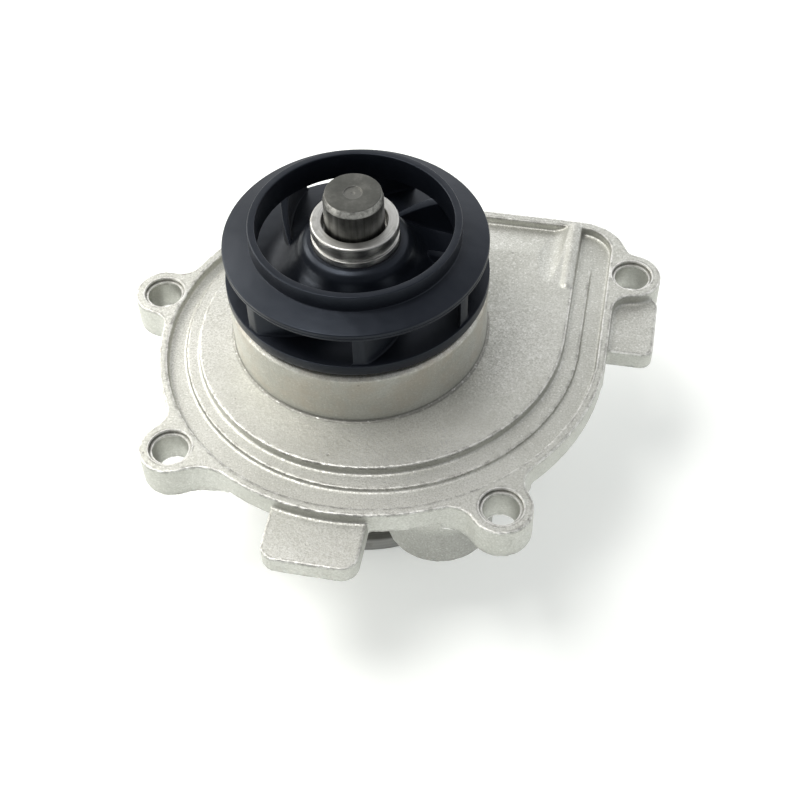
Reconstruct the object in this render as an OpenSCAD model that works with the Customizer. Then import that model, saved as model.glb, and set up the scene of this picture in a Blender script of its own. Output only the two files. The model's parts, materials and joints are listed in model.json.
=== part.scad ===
// Belt-driven coolant pump for a small car engine.
// The shaft axis is Z. The face that the pulley bolts to is z = 0, and the impeller is at the top.
// The straight back edge of the flange runs along X.

/* [Flange] */
// Height of the flange's mounting face above the pulley face
flange_z = 42; // [38:0.5:50]
// Thickness of the flange at its rim
flange_t = 5.6; // [4:0.2:8]
// Thickness of the bolt ears
ear_t = 8; // [7:0.5:10]
// Width of the raised rim
rim_w = 1.9; // [1.5:0.1:3]
// Depth of the pocket floor below the rim
floor_drop = 2; // [1:0.1:3]
// Radius of a bolt ear
ear_r = 6.3; // [6:0.1:7.5]
// Diameter of the flange's bolt holes
bolt_d = 7.2; // [6.4:0.1:7.6]
// Diameter of the shallow counterbore at each bolt hole
cbore_d = 8.6; // [8:0.1:9.6]
// Depth of that counterbore
cbore_h = 0.8; // [0.4:0.1:2]

/* [Scroll floor] */
// Height of the inner plateau above the rim
plateau_up = 0.8; // [0.2:0.1:2]
// Height of the inner step's wall
step_in_h = 2; // [1:0.1:3]
// Height of the ridge above the plateau
ridge_up = 0.7; // [0.3:0.1:1.2]

/* [Boss] */
// Radius of the central boss
boss_r = 26.8; // [25:0.1:30]
// Height of the boss's top above the rim
boss_h = 13.6; // [10:0.2:16]
// Width of the chamfer on the boss's top edge
boss_chamfer = 0.7; // [0.3:0.1:1.2]
// Radius of the cavity in the boss's top
cavity_r = 22.8; // [20:0.2:24]
// Depth of that cavity
cavity_h = 5.1; // [4:0.1:6]

/* [Snout] */
// Radius of the snout around the bearing
snout_r = 19.4; // [18.5:0.1:21]
// Radius of the bearing's outer race
race_r = 15; // [14.5:0.5:16]
// Height of the bearing's lower end
race_z = 14; // [13:0.5:16]
// Length of the bearing
race_h = 30; // [28:0.5:32]

/* [Leak chamber] */
// Radius of the leak chamber's casting
chamber_r = 11; // [10:0.5:11.5]
// Height of its lower end
chamber_z = 22; // [20:0.5:26]
// Thickness of its wall
chamber_wall = 1.6; // [1.2:0.1:2.5]

/* [Shaft] */
// Diameter of the shaft at the impeller
shaft_d = 12; // [12:0.1:12.4]
// Diameter of the shaft inside the bearing
journal_d = 15.9; // [15.5:0.1:16]
// Height of the shaft's impeller end
shaft_top = 80; // [78:0.5:84]
// Height of the chamfer on that end
shaft_chamfer_h = 1.9; // [0.5:0.1:2]

/* [Impeller] */
// Radius of the impeller
imp_r = 26.8; // [25:0.1:28]
// Height of the underside of its back plate
back_z = 57.2; // [56.8:0.1:58]
// Thickness of the back plate
back_t = 2.4; // [2:0.1:3]
// Height of the vanes at the outlet
vane_h = 7.1; // [6:0.1:8]
// Number of vanes
vane_n = 7; // [5:1:8]
// Thickness of a vane
vane_t = 1.5; // [1.4:0.1:2.2]
// Turn of the first vane's outlet from +X
vane_turn = -78.8; // [-90:0.1:90]
// Radius of the arc that each vane follows
vane_arc_r = 23.6; // [23:0.1:25]
// Thickness of the shroud at its rim
shroud_t = 1.5; // [1.2:0.1:2.5]
// Inner radius of the eye collar
eye_r = 19.8; // [19:0.1:21]
// Outer radius of the eye collar
collar_r = 21.3; // [21.1:0.1:23]
// Height of the collar's top
collar_top = 72.8; // [71:0.1:75]

/* [Insert ring] */
// Outer radius of the steel ring in the hub
ring_r = 8.87; // [8.5:0.01:9.3]
// Height of the ring's top
ring_top = 73; // [71:0.1:75]
// Radius of the ring's relieved bore at its top
ring_relief_r = 6.62; // [6.4:0.01:7]

/* [Pulley hub] */
// Radius of the pulley hub's disc
hub_r = 29.5; // [27:0.1:31]
// Thickness of that disc
hub_t = 4; // [3:0.1:5]
// Diameter of the circle through its threaded holes
hub_pcd = 44; // [36:0.5:46]
// Diameter of a threaded hole
hub_hole_d = 5; // [4:0.1:5.4]

/* [Hidden] */
$fn = 96;
eps = 0.05;

// Flange levels
floor_z = flange_z - floor_drop;
plateau_z = flange_z + plateau_up;
mid_z = plateau_z - step_in_h;
plate_z = flange_z - flange_t;
ear_z = flange_z - ear_t;
boss_z = flange_z + boss_h;
cavity_z = boss_z - cavity_h;

// The flange's inner edge: three arcs, two straight edges and a rounded corner
edge_right = 50.5;
edge_back = 38.1;
arc_low_right = [3.2, 0.4];
arc_low_left = [3.2, -3.6];
arc_up_left = [1.6, -3.6];
corner_in_r = 7;
corner_out = [44, 29.6];
corner_out_r = 10.2;
low_right_r = edge_right - arc_low_right[0];
low_left_r = low_right_r + arc_low_left[1] - arc_low_right[1];
up_left_r = edge_back - arc_up_left[1];

// Bolt ears, in order around the flange
ear_left = [-44.6, 2.7];
ear_low_left = [-31, -38.5];
ear_low_right = [36.2, -41.5];
ear_right = [55.6, 24.9];
ear_back = [-10, 43.2];
EARS = [ear_left, ear_low_left, ear_low_right, ear_right, ear_back];

// Plain tabs at the flange's edge
tab_drop = 2.5;
tab_t = 4.4;
tab_r = 3.6;

// Bearing rows
ball_r = 2.6;
ball_n = 8;
ball_z = race_z + 21.5;
roller_r = 1.95;
roller_h = 8;
roller_n = 12;
roller_z = race_z + 5;
row_r = 10;
play = 0.08;
cage_t = 1.7;
raceway_r = row_r + roller_r + play;
journal_r = journal_d / 2;
shaft_r = shaft_d / 2;
bearing_top = race_z + race_h;
washer_t = 0.8;

// Seal
seal_r = 14.6;
seal_flange_r = 17.2;
seal_t = 0.9;
carbon_z = cavity_z + 2.6;
mate_z = carbon_z + 3.2;
mate_top = mate_z + 3;

// Impeller levels
back_top = back_z + back_t;
vane_top = back_top + vane_h;
shroud_top = vane_top + shroud_t;
collar_base = shroud_top + 0.9;
hub_top = 68.2;
vane_arc = [7.5, -13.3];

chamber = [22.6, -32.4];
chamber_turn = atan2(chamber[1], chamber[0]);
chamber_far = norm(chamber);

// A washer or tube, given by its radii, its lower end and its height
module tube(ro, ri, z, h) {
    translate([0, 0, z]) difference() {
        cylinder(r = ro, h = h);
        translate([0, 0, -1]) cylinder(r = ri, h = h + 2);
    }
}

// A quarter of a disc that fills the corner between two directions, -1 or 1 each
module quarter(centre, r, sx, sy) {
    translate(centre) intersection() {
        circle(r = r);
        translate([sx > 0 ? 0 : -r - 1, sy > 0 ? 0 : -r - 1]) square(r + 1);
    }
}

// The scroll outline: quarter discs of growing radius, closed by straight edges at the right and back
module scroll(right, back, low_right, low_left, up_left, corner_r) {
    r_lr = right - low_right[0];
    r_ll = r_lr + low_left[1] - low_right[1];
    r_ul = back - up_left[1];
    quarter(low_right, r_lr, 1, -1);
    quarter(low_left, r_ll, -1, -1);
    quarter(up_left, r_ul, -1, 1);
    translate([up_left[0] - eps, up_left[1] - eps])
        square([right - corner_r - up_left[0] + eps, back - up_left[1] + eps]);
    translate([low_right[0], up_left[1] - eps])
        square([right - low_right[0], back - corner_r - up_left[1] + eps]);
    translate([up_left[0], low_left[1] - r_ll + 1]) square([low_left[0] - up_left[0] + eps, r_ll]);
    translate([right - corner_r, back - corner_r]) circle(r = corner_r);
}

// The flange's outline, grown outwards by g from the rim's inner edge
module rim_outline(g) {
    scroll(edge_right + g, edge_back + g, arc_low_right, arc_low_left, arc_up_left, corner_in_r + g);
}

// The concave web between a round edge (centre o, radius r) and a bolt ear, on one side
module web_to_arc(o, r, ear, f, side) {
    d = norm(ear - o);
    turn = atan2(ear[1] - o[1], ear[0] - o[0]);
    a = acos((d * d + pow(r + f, 2) - pow(ear_r + f, 2)) / (2 * d * (r + f)));
    c = o + (r + f) * [cos(turn + side * a), sin(turn + side * a)];
    difference() {
        polygon([o, ear, c]);
        translate(c) circle(r = f - eps);
    }
}

// The same web between a straight edge and an ear; along is the edge's direction, out its normal
module web_to_line(foot, out, along, ear, f) {
    rise = (ear - foot) * out - f;
    run = sqrt(pow(ear_r + f, 2) - rise * rise);
    c = foot + f * out + ((ear - foot) * along + run) * along;
    difference() {
        polygon([ear - 5 * out, ear, c, c - (f + 1) * out]);
        translate(c) circle(r = f - eps);
    }
}

// All ears and their webs, as the outline seen from above
module ear_outline() {
    for (e = EARS) translate(e) circle(r = ear_r);
    web_to_arc(arc_up_left, up_left_r + rim_w, ear_left, 4, -1);
    web_to_arc(arc_low_left, low_left_r + rim_w, ear_left, 3.5, 1);
    web_to_arc(arc_low_left, low_left_r + rim_w, ear_low_left, 5, -1);
    web_to_arc(arc_low_left, low_left_r + rim_w, ear_low_left, 9, 1);
    web_to_arc(arc_low_right, low_right_r + rim_w, ear_low_right, 5, -1);
    web_to_arc(arc_low_right, low_right_r + rim_w, ear_low_right, 5, 1);
    web_to_arc(corner_out, corner_out_r, ear_right, 3, 1);
    web_to_line([edge_right + rim_w, 0], [1, 0], [0, -1], ear_right, 4);
    web_to_arc(arc_up_left, up_left_r + rim_w, ear_back, 5, -1);
    web_to_arc(arc_up_left, up_left_r + rim_w, ear_back, 5, 1);
}

// A square tab with rounded outer corners
module tab(size, r) {
    translate([r, r]) circle(r = r);
    translate([size[0] - r, r]) circle(r = r);
    translate([r, 0]) square([size[0] - 2 * r, size[1]]);
    translate([0, r]) square([size[0], size[1] - r]);
}

module tabs() {
    translate([-8.2, -59.4, flange_z - tab_drop - tab_t]) linear_extrude(tab_t) tab([19.4, 14], tab_r);
    translate([61.9, 4, flange_z - tab_drop - tab_t]) rotate(90) linear_extrude(tab_t)
        tab([17, 12], 2.4);
}

// Outline of a step on the pocket's floor: a smaller scroll whose left side is a half circle
module step_scroll(right, left_y, right_y, x0) {
    r_left = right - x0 + left_y - right_y;
    quarter([x0, right_y], right - x0, 1, -1);
    quarter([x0, left_y], r_left, -1, -1);
    quarter([x0, left_y], r_left, -1, 1);
    translate([x0 - eps, left_y - 1]) square([right / 2, right_y - left_y + 2]);
    translate([x0 - eps, right_y - eps]) square([right - x0 + eps, edge_back - right_y + 2 * eps]);
}

module steps() {
    translate([0, 0, floor_z - 1]) linear_extrude(mid_z - floor_z + 1)
        step_scroll(46.6, -1.4, 1.6, 3.4);
    translate([0, 0, floor_z - 1]) linear_extrude(plateau_z - floor_z + 1)
        step_scroll(43.3, -2.1, 3, 2.2);
}

// The steps fade into the floor at the upper left, and a ramp falls to the back edge. The lower
// step also fades out beside the ridge.
fade_y = 4;
fade_a = 8.8;
fade_right = [43.35, 22];
fade_right_a = 5.1;
ramp_y = 27.3;
ramp_a = 14.5;
ridge_x = 41.8;
ridge_y = 18.8;
ridge_r = 1.45;
flank_x = 37.2;
flank_r = 3.4;
flank_a = 7;
module step_cuts() {
    translate([-60, fade_y, plateau_z]) rotate([-fade_a, 0, 0]) cube([45, 18.2, 10]);
    translate([-60, 22, floor_z]) cube([45, 30, 10]);
    translate([-16, ramp_y, plateau_z]) rotate([-ramp_a, 0, 0]) cube([flank_x + 16.5, 20, 10]);
    translate([fade_right[0], fade_right[1], mid_z]) rotate([-fade_right_a, 0, 0]) cube([8, 20, 10]);
    translate([flank_x, ridge_y, plateau_z + flank_r]) rotate([-90 - flank_a, 0, 0])
        cylinder(r = flank_r, h = 24);
}

// The narrow ridge beside the ramp, rounded along its top
module ridge() {
    z = plateau_z + ridge_up - ridge_r;
    len = edge_back + 1.2 - ridge_y;
    translate([ridge_x, ridge_y, z]) {
        rotate([-90, 0, 0]) cylinder(r = ridge_r, h = len);
        sphere(r = ridge_r);
        translate([-ridge_r + 0.02, 0, -3]) cube([2 * ridge_r - 0.04, len, 3]);
    }
}

// Keeps the ridge off the rim's sealing face
module ridge_cut() {
    translate([ridge_x - 5, edge_back - 0.1, flange_z]) cube([10, 5, 5]);
}

// Straight ribs under the flange, from the snout towards each ear
rib_t = 3.2;
rib_z = 27;
module rib_blanks() {
    for (e = EARS) rotate(atan2(e[1], e[0]))
        translate([snout_r - 2, -rib_t / 2, rib_z]) difference() {
            cube([norm(e) - snout_r - ear_r + 4, rib_t, plate_z - rib_z]);
            translate([4, -1, 0]) rotate([0, -14, 0]) translate([0, 0, -12])
                cube([60, rib_t + 2, 12]);
        }
}

// The leak chamber and the wall that carries its drain bore
module chamber_blank() {
    translate([chamber[0], chamber[1], chamber_z]) cylinder(r = chamber_r, h = plate_z - chamber_z);
    rotate(chamber_turn) translate([snout_r - 3, -4.5, rib_z])
        cube([chamber_far - snout_r - 5, 9, plate_z - rib_z]);
}

module plate_blank() {
    translate([0, 0, plate_z]) linear_extrude(flange_t) {
        rim_outline(rim_w);
        translate(corner_out) circle(r = corner_out_r);
    }
    difference() {
        ear_pads();
        chamber_blank();
    }
    tabs();
}

// The ears are thicker than the plate, in pads that end just inside the rim
module ear_pads() {
    translate([0, 0, ear_z]) linear_extrude(ear_t) difference() {
        ear_outline();
        rim_outline(-3);
    }
}

drain_a = 42;
drain_r = 1.1;
module casting_bores() {
    z_seal = bearing_top + 2.4;
    translate([0, 0, race_z - 3]) cylinder(r = race_r, h = race_h + 3);
    translate([0, 0, bearing_top - 1]) cylinder(r = 12.6, h = 4);
    translate([0, 0, z_seal]) cylinder(r = seal_r, h = 20);
    translate([0, 0, cavity_z]) cylinder(r = cavity_r, h = 20);
    for (e = EARS) translate([e[0], e[1], 0]) {
        translate([0, 0, ear_z - 1]) cylinder(r = bolt_d / 2, h = ear_t + 5);
        translate([0, 0, flange_z - cbore_h]) cylinder(r = cbore_d / 2, h = 5);
    }
    translate([chamber[0], chamber[1], chamber_z - 1])
        cylinder(r = chamber_r - chamber_wall, h = plate_z - chamber_z - 1);
    rotate(chamber_turn) translate([0, 0, bearing_top + 1.2]) {
        rotate([0, 90, 0]) cylinder(r = drain_r, h = 18);
        translate([17.2, 0, 0.2]) rotate([0, 90 + drain_a, 0]) cylinder(r = drain_r, h = 19);
    }
}

// The ring-shaped core under the boss, interrupted by the ribs and the drain wall
core_r = 22.9;
module core() {
    difference() {
        tube(core_r, snout_r, plate_z - 1, cavity_z - plate_z - 2.2);
        ribs_tall();
        rotate(chamber_turn) translate([0, -4.5, 0]) cube([30, 9, 60]);
    }
}

module ribs_tall() {
    for (e = EARS) rotate(atan2(e[1], e[0])) translate([0, -rib_t / 2, 0]) cube([30, rib_t, 60]);
}

// The casting is drawn as five pieces that meet face to face. The flange comes first.
module flange() {
    color("silver") difference() {
        union() {
            difference() {
                plate_blank();
                translate([0, 0, floor_z]) linear_extrude(10) rim_outline(0);
            }
            intersection() {
                difference() {
                    steps();
                    step_cuts();
                }
                translate([0, 0, floor_z - 1]) linear_extrude(10) rim_outline(eps);
            }
            difference() {
                ridge();
                ridge_cut();
            }
            translate([0, 0, floor_z - 1]) cylinder(r = boss_r, h = plateau_z - floor_z + 1);
        }
        core();
        casting_bores();
    }
}

// The boss stands on the flange's plateau
module boss() {
    color("silver") difference() {
        union() {
            translate([0, 0, plateau_z]) cylinder(r = boss_r, h = boss_z - boss_chamfer - plateau_z);
            translate([0, 0, boss_z - boss_chamfer])
                cylinder(r1 = boss_r, r2 = boss_r - boss_chamfer, h = boss_chamfer);
        }
        core();
        casting_bores();
    }
}

// The snout hangs under the flange and holds the bearing
module snout() {
    color("silver") difference() {
        translate([0, 0, race_z - 2]) cylinder(r = snout_r, h = plate_z - race_z + 2);
        casting_bores();
    }
}

module ribs() {
    color("silver") difference() {
        rib_blanks();
        translate([0, 0, rib_z - 1]) cylinder(r = snout_r, h = plate_z - rib_z + 2);
        ear_pads();
        chamber_blank();
    }
}

module leak_chamber() {
    color("silver") difference() {
        chamber_blank();
        translate([0, 0, rib_z - 1]) cylinder(r = snout_r, h = plate_z - rib_z + 2);
        casting_bores();
    }
}

// A pressed-in cup that closes the leak chamber
module leak_chamber_cover() {
    r = chamber_r - chamber_wall;
    color("lightsteelblue") translate([chamber[0], chamber[1], chamber_z]) difference() {
        cylinder(r = r, h = 3.6);
        translate([0, 0, -1]) cylinder(r = r - 1, h = 3.6);
    }
}

module bearing_outer_race() {
    color("lightgray") difference() {
        tube(race_r, raceway_r, race_z, race_h);
        translate([0, 0, race_z - 1]) cylinder(r = raceway_r + 0.8, h = 1 + washer_t + 0.3);
        translate([0, 0, bearing_top - washer_t - 0.3]) cylinder(r = raceway_r + 0.8, h = 2);
        translate([0, 0, ball_z]) rotate_extrude() translate([row_r, 0]) circle(r = ball_r + play);
    }
}

module bearing_seal(z) {
    color("black") tube(raceway_r + 0.8, journal_r + 0.06, z, washer_t);
}

module bearing_seal_upper() {
    bearing_seal(bearing_top - washer_t - 0.3);
}

module bearing_seal_lower() {
    bearing_seal(race_z + 0.3);
}

// A drawn cup with an outer flange that sits on the cavity's floor
module seal_case() {
    low = bearing_top + 2.4;
    color("lightsteelblue") {
        tube(seal_r, seal_r - seal_t, low, cavity_z - low + seal_t);
        tube(seal_r, shaft_r + 2.2, low, seal_t);
        tube(seal_flange_r, seal_r, cavity_z, seal_t);
    }
}

module seal_bellows() {
    low = bearing_top + 2.4 + seal_t;
    color("dimgray") rotate_extrude() polygon([
        [8.6, low], [13.6, low], [13.6, low + 1], [10.2, low + 1.2], [11.4, low + 2.2],
        [10.2, low + 3.2], [11.4, low + 4.2], [10.4, carbon_z], [8.9, carbon_z],
        [9.8, low + 4.2], [8.9, low + 3.2], [9.8, low + 2.2]]);
}

// A conical spring between the bellows' foot and the retainer, drawn as its close turns
spring_turns = 4;
module seal_spring() {
    low = bearing_top + 2.4 + seal_t + 1.6;
    pitch = (carbon_z - 0.6 - low) / (spring_turns - 1);
    color("silver") for (i = [0 : spring_turns - 1]) translate([0, 0, low + i * pitch])
        rotate_extrude() translate([12.4, 0]) circle(r = 0.5);
}

module seal_retainer() {
    color("lightsteelblue") tube(13.2, 11.5, carbon_z, 0.8);
}

module carbon_face() {
    color("black") {
        tube(11.5, 8.2, carbon_z, 1.6);
        tube(10.4, 8.2, carbon_z, mate_z - carbon_z - 0.02);
    }
}

module shaft() {
    color("gray") difference() {
        union() {
            translate([0, 0, 1]) cylinder(r = journal_r, h = bearing_top - 1);
            translate([0, 0, bearing_top]) cylinder(r = shaft_r, h = shaft_top - shaft_chamfer_h - bearing_top);
            translate([0, 0, shaft_top - shaft_chamfer_h])
                cylinder(r1 = shaft_r, r2 = shaft_r - 0.4, h = shaft_chamfer_h);
        }
        translate([0, 0, ball_z]) rotate_extrude() translate([row_r, 0]) circle(r = ball_r + play);
        translate([0, 0, shaft_top - 0.25]) cylinder(r = 1.8, h = 1);
        translate([0, 0, shaft_top - 0.9]) cylinder(r1 = 0.2, r2 = 0.9, h = 0.7);
    }
}

// A thin flinger that throws leaked coolant into the drain bore
module slinger() {
    color("dimgray") {
        tube(shaft_r + 1.2, shaft_r, bearing_top + 0.2, 1.7);
        tube(11.6, shaft_r, bearing_top + 1, 0.6);
    }
}

module mating_ring() {
    color("ivory") tube(11, 8, mate_z, mate_top - mate_z);
}

module mating_ring_boot() {
    color("black") {
        tube(12, 11, mate_z + 0.4, mate_top - mate_z - 0.4);
        tube(12, shaft_r + 0.9, mate_top, 1);
        tube(8, shaft_r + 0.9, mate_z + 0.8, mate_top - mate_z - 0.8);
    }
}

module mating_ring_cup() {
    color("lightsteelblue") {
        tube(12.7, 12, mate_z + 0.6, mate_top - mate_z + 1.1);
        tube(12.7, shaft_r, mate_top + 1, 0.7);
        tube(shaft_r + 0.9, shaft_r, mate_z + 0.8, mate_top - mate_z + 0.9);
    }
}

// The steel ring moulded into the impeller's hub and pressed on the shaft
groove_z = 70.2;
groove_h = 1.3;
insert_z = 62;
module impeller_insert() {
    color("gainsboro") difference() {
        union() {
            translate([0, 0, insert_z]) cylinder(r = ring_r, h = ring_top - insert_z - 0.4);
            translate([0, 0, ring_top - 0.4]) cylinder(r1 = ring_r, r2 = ring_r - 0.4, h = 0.4);
            translate([0, 0, insert_z + 1]) cylinder(r = ring_r + 1.1, h = 2);
        }
        translate([0, 0, insert_z - 1]) cylinder(r = shaft_r, h = 20);
        translate([0, 0, ring_top - 3]) cylinder(r = ring_relief_r, h = 5);
        tube(ring_r + 2, ring_r - 0.55, groove_z - groove_h / 2, groove_h);
    }
}

// One vane: a strip along a circular arc, from the hub to the rim
module vane_strip(r_in, r_out) {
    intersection() {
        translate(vane_arc) difference() {
            circle(r = vane_arc_r + vane_t / 2);
            circle(r = vane_arc_r - vane_t / 2);
        }
        difference() {
            circle(r = r_out);
            circle(r = r_in);
        }
        translate([-6, -4]) square([r_out + 6, r_out + 4]);
    }
}

module hub_profile() {
    polygon([[ring_r - 0.6, back_z + 1], [ring_r - 0.6, hub_top], [9.7, hub_top], [10.6, 67.8],
        [11.6, 66.6], [12.4, 64.6], [14.8, 61.6], [18, back_top], [18, back_z + 1]]);
}

// Each vane fills the space between the hub's cone, the back plate and the shroud
module impeller_vanes() {
    r_out = imp_r - 0.25;
    color([0.12, 0.13, 0.16]) for (i = [0 : vane_n - 1]) rotate(vane_turn + i * 360 / vane_n)
        intersection() {
            translate([0, 0, back_z]) linear_extrude(20) vane_strip(10.2, imp_r + 2);
            rotate_extrude() polygon([[18, back_top], [r_out, back_top], [r_out, vane_top],
                [19.6, vane_top], [14.4, 62.1], [14.8, 61.6]]);
        }
}

module impeller_body() {
    color([0.12, 0.13, 0.16]) difference() {
        union() {
            translate([0, 0, back_z]) cylinder(r = imp_r + 0.2, h = back_t);
            rotate_extrude() hub_profile();
        }
        translate([0, 0, back_z - 1]) cylinder(r = 13.3, h = 1 + mate_top + 2 - back_z);
        translate([0, 0, back_z - 1]) cylinder(r = ring_r, h = 20);
        translate([0, 0, insert_z + 1]) cylinder(r = ring_r + 1.1, h = 2);
    }
}

// The shroud: a sloping disc with an upright collar round the eye
module impeller_shroud() {
    color([0.12, 0.13, 0.16]) rotate_extrude() polygon([
        [eye_r, vane_top], [imp_r, vane_top], [imp_r, shroud_top], [collar_r + 0.1, collar_base],
        [collar_r, collar_base + 0.2], [collar_r, collar_top - 0.25], [collar_r - 0.25, collar_top],
        [eye_r + 0.25, collar_top], [eye_r, collar_top - 0.25]]);
}

module pulley_hub() {
    color("gray") difference() {
        union() {
            cylinder(r = hub_r, h = hub_t);
            cylinder(r = 10.4, h = race_z - 3);
            translate([0, 0, hub_t]) cylinder(r1 = 11.6, r2 = 10.4, h = 1.2);
        }
        translate([0, 0, -1]) cylinder(r = journal_r, h = 30);
        for (i = [0 : 2]) rotate(90 + i * 120) translate([hub_pcd / 2, 0, -1])
            cylinder(r = hub_hole_d / 2, h = hub_t + 3);
    }
}

// Cages: a ring with a pocket for each rolling element
module ball_cage() {
    color("peru") difference() {
        tube(row_r + cage_t / 2, row_r - cage_t / 2, ball_z - 3.4, 6.8);
        for (i = [0 : ball_n - 1]) rotate(i * 360 / ball_n) translate([row_r, 0, ball_z])
            sphere(r = ball_r + play);
    }
}

module bearing_balls() {
    color("silver") for (i = [0 : ball_n - 1]) rotate(i * 360 / ball_n)
        translate([row_r, 0, ball_z]) sphere(r = ball_r);
}

module roller_cage() {
    color("peru") difference() {
        tube(row_r + cage_t / 2, row_r - cage_t / 2, roller_z - 1.4, roller_h + 2.8);
        for (i = [0 : roller_n - 1]) rotate(i * 360 / roller_n)
            translate([row_r, 0, roller_z - play]) cylinder(r = roller_r + play, h = roller_h + 2 * play);
    }
}

module bearing_rollers() {
    color("silver") for (i = [0 : roller_n - 1]) rotate(i * 360 / roller_n)
        translate([row_r, 0, roller_z]) cylinder(r = roller_r, h = roller_h);
}

flange();
boss();
snout();
ribs();
leak_chamber();
leak_chamber_cover();
bearing_outer_race();
bearing_seal_upper();
bearing_seal_lower();
seal_case();
seal_bellows();
seal_spring();
seal_retainer();
carbon_face();
shaft();
slinger();
mating_ring();
mating_ring_boot();
mating_ring_cup();
impeller_insert();
impeller_body();
impeller_vanes();
impeller_shroud();
pulley_hub();
ball_cage();
bearing_balls();
roller_cage();
bearing_rollers();
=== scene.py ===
"""Belt-driven coolant pump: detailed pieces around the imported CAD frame, in metres."""
import json
import math

import bmesh
import bpy
import numpy as np
from mathutils import Matrix, Vector, noise


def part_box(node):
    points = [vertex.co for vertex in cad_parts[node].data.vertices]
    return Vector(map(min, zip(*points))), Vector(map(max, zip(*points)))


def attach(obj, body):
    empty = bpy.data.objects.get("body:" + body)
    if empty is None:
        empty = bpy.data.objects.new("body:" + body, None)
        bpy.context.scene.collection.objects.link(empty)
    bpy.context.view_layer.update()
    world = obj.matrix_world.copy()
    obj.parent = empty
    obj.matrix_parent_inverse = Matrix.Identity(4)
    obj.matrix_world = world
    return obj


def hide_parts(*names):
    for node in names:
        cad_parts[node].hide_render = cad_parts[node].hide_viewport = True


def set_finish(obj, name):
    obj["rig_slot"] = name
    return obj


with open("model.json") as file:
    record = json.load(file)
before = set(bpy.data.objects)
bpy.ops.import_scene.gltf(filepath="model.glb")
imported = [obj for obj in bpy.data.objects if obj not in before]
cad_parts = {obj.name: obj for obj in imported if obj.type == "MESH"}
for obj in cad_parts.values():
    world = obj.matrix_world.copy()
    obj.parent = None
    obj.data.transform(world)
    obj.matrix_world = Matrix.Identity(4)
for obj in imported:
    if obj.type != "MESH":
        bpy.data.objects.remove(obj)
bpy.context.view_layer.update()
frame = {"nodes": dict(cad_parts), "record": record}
nodes = frame["nodes"]
scene = bpy.context.scene
MM = 0.001
MOUNTS = {mount["name"]: mount for mount in frame["record"]["mounts"]}


# ---------------------------------------------------------------- mesh helpers

def new_piece(name, mesh, body, slot, *replaced):
    """Puts a finished mesh in the scene, on its CAD body, in place of the CAD nodes named."""
    piece = bpy.data.objects.new(name, mesh)
    scene.collection.objects.link(piece)
    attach(piece, body)
    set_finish(piece, slot)
    if replaced:
        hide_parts(*replaced)
    return piece


def shade(mesh, angle=32):
    """Smooth shading, with edges sharper than the angle left crisp."""
    mesh.polygons.foreach_set("use_smooth", [True] * len(mesh.polygons))
    mesh.set_sharp_from_angle(angle=math.radians(angle))
    return mesh


def rounded(points, steps=5):
    """A closed outline with its corners rounded. Each point is (r, z) or (r, z, corner radius)."""
    out = []
    for i, point in enumerate(points):
        here = Vector(point[:2])
        if len(point) < 3:
            out.append(here)
            continue
        before = Vector(points[i - 1][:2]) - here
        after = Vector(points[(i + 1) % len(points)][:2]) - here
        a, b = before.normalized(), after.normalized()
        half = a.angle(b) / 2
        cut = min(point[2] / math.tan(half), 0.48 * before.length, 0.48 * after.length)
        centre = here + (a + b).normalized() * cut / math.cos(half)
        start, end = here + a * cut - centre, here + b * cut - centre
        turn = start.angle_signed(end)
        for k in range(steps + 1):
            out.append(centre + Matrix.Rotation(-turn * k / steps, 2) @ start)
    return out


def lathe_into(bm, outline, segments):
    """Turns a closed outline of (r, z) in mm round Z. A point on the axis becomes one vertex."""
    rings = []
    for r, z in outline:
        if r < 1e-6:
            rings.append([bm.verts.new((0, 0, z * MM))] * segments)
        else:
            rings.append([bm.verts.new((r * MM * math.cos(t), r * MM * math.sin(t), z * MM))
                          for t in (2 * math.pi * k / segments for k in range(segments))])
    for a, b in zip(rings, rings[1:] + rings[:1]):
        if a[0] is a[1] and b[0] is b[1]:
            continue
        for k in range(segments):
            n = (k + 1) % segments
            corners = [a[k], a[n], b[n], b[k]]
            corners = [c for i, c in enumerate(corners) if c not in corners[:i]]
            bm.faces.new(corners)


def lathe(name, outline, segments=192):
    bm = bmesh.new()
    lathe_into(bm, outline, segments)
    return finish_mesh(bm, name)


def finish_mesh(bm, name, angle=32):
    bmesh.ops.recalc_face_normals(bm, faces=bm.faces)
    mesh = bpy.data.meshes.new(name)
    bm.to_mesh(mesh)
    bm.free()
    return shade(mesh, angle)


def skin(bm, rings):
    """Joins a row of closed rings into a tube with capped ends."""
    for a, b in zip(rings, rings[1:]):
        for k in range(len(a)):
            n = (k + 1) % len(a)
            bm.faces.new((a[k], a[n], b[n], b[k]))
    bm.faces.new(rings[0])
    bm.faces.new(list(reversed(rings[-1])))


def evaluated(piece):
    """The piece's mesh with its modifiers applied, as a new mesh."""
    bpy.context.view_layer.update()
    graph = bpy.context.evaluated_depsgraph_get()
    return bpy.data.meshes.new_from_object(piece.evaluated_get(graph), depsgraph=graph)


def modified(mesh, *modifiers):
    """A mesh after a list of (kind, settings) modifiers."""
    piece = bpy.data.objects.new("scratch", mesh)
    scene.collection.objects.link(piece)
    for kind, settings in modifiers:
        mod = piece.modifiers.new(kind, kind)
        for key, value in settings.items():
            setattr(mod, key, value)
    out = evaluated(piece)
    bpy.data.objects.remove(piece)
    bpy.data.meshes.remove(mesh)
    return out


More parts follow.
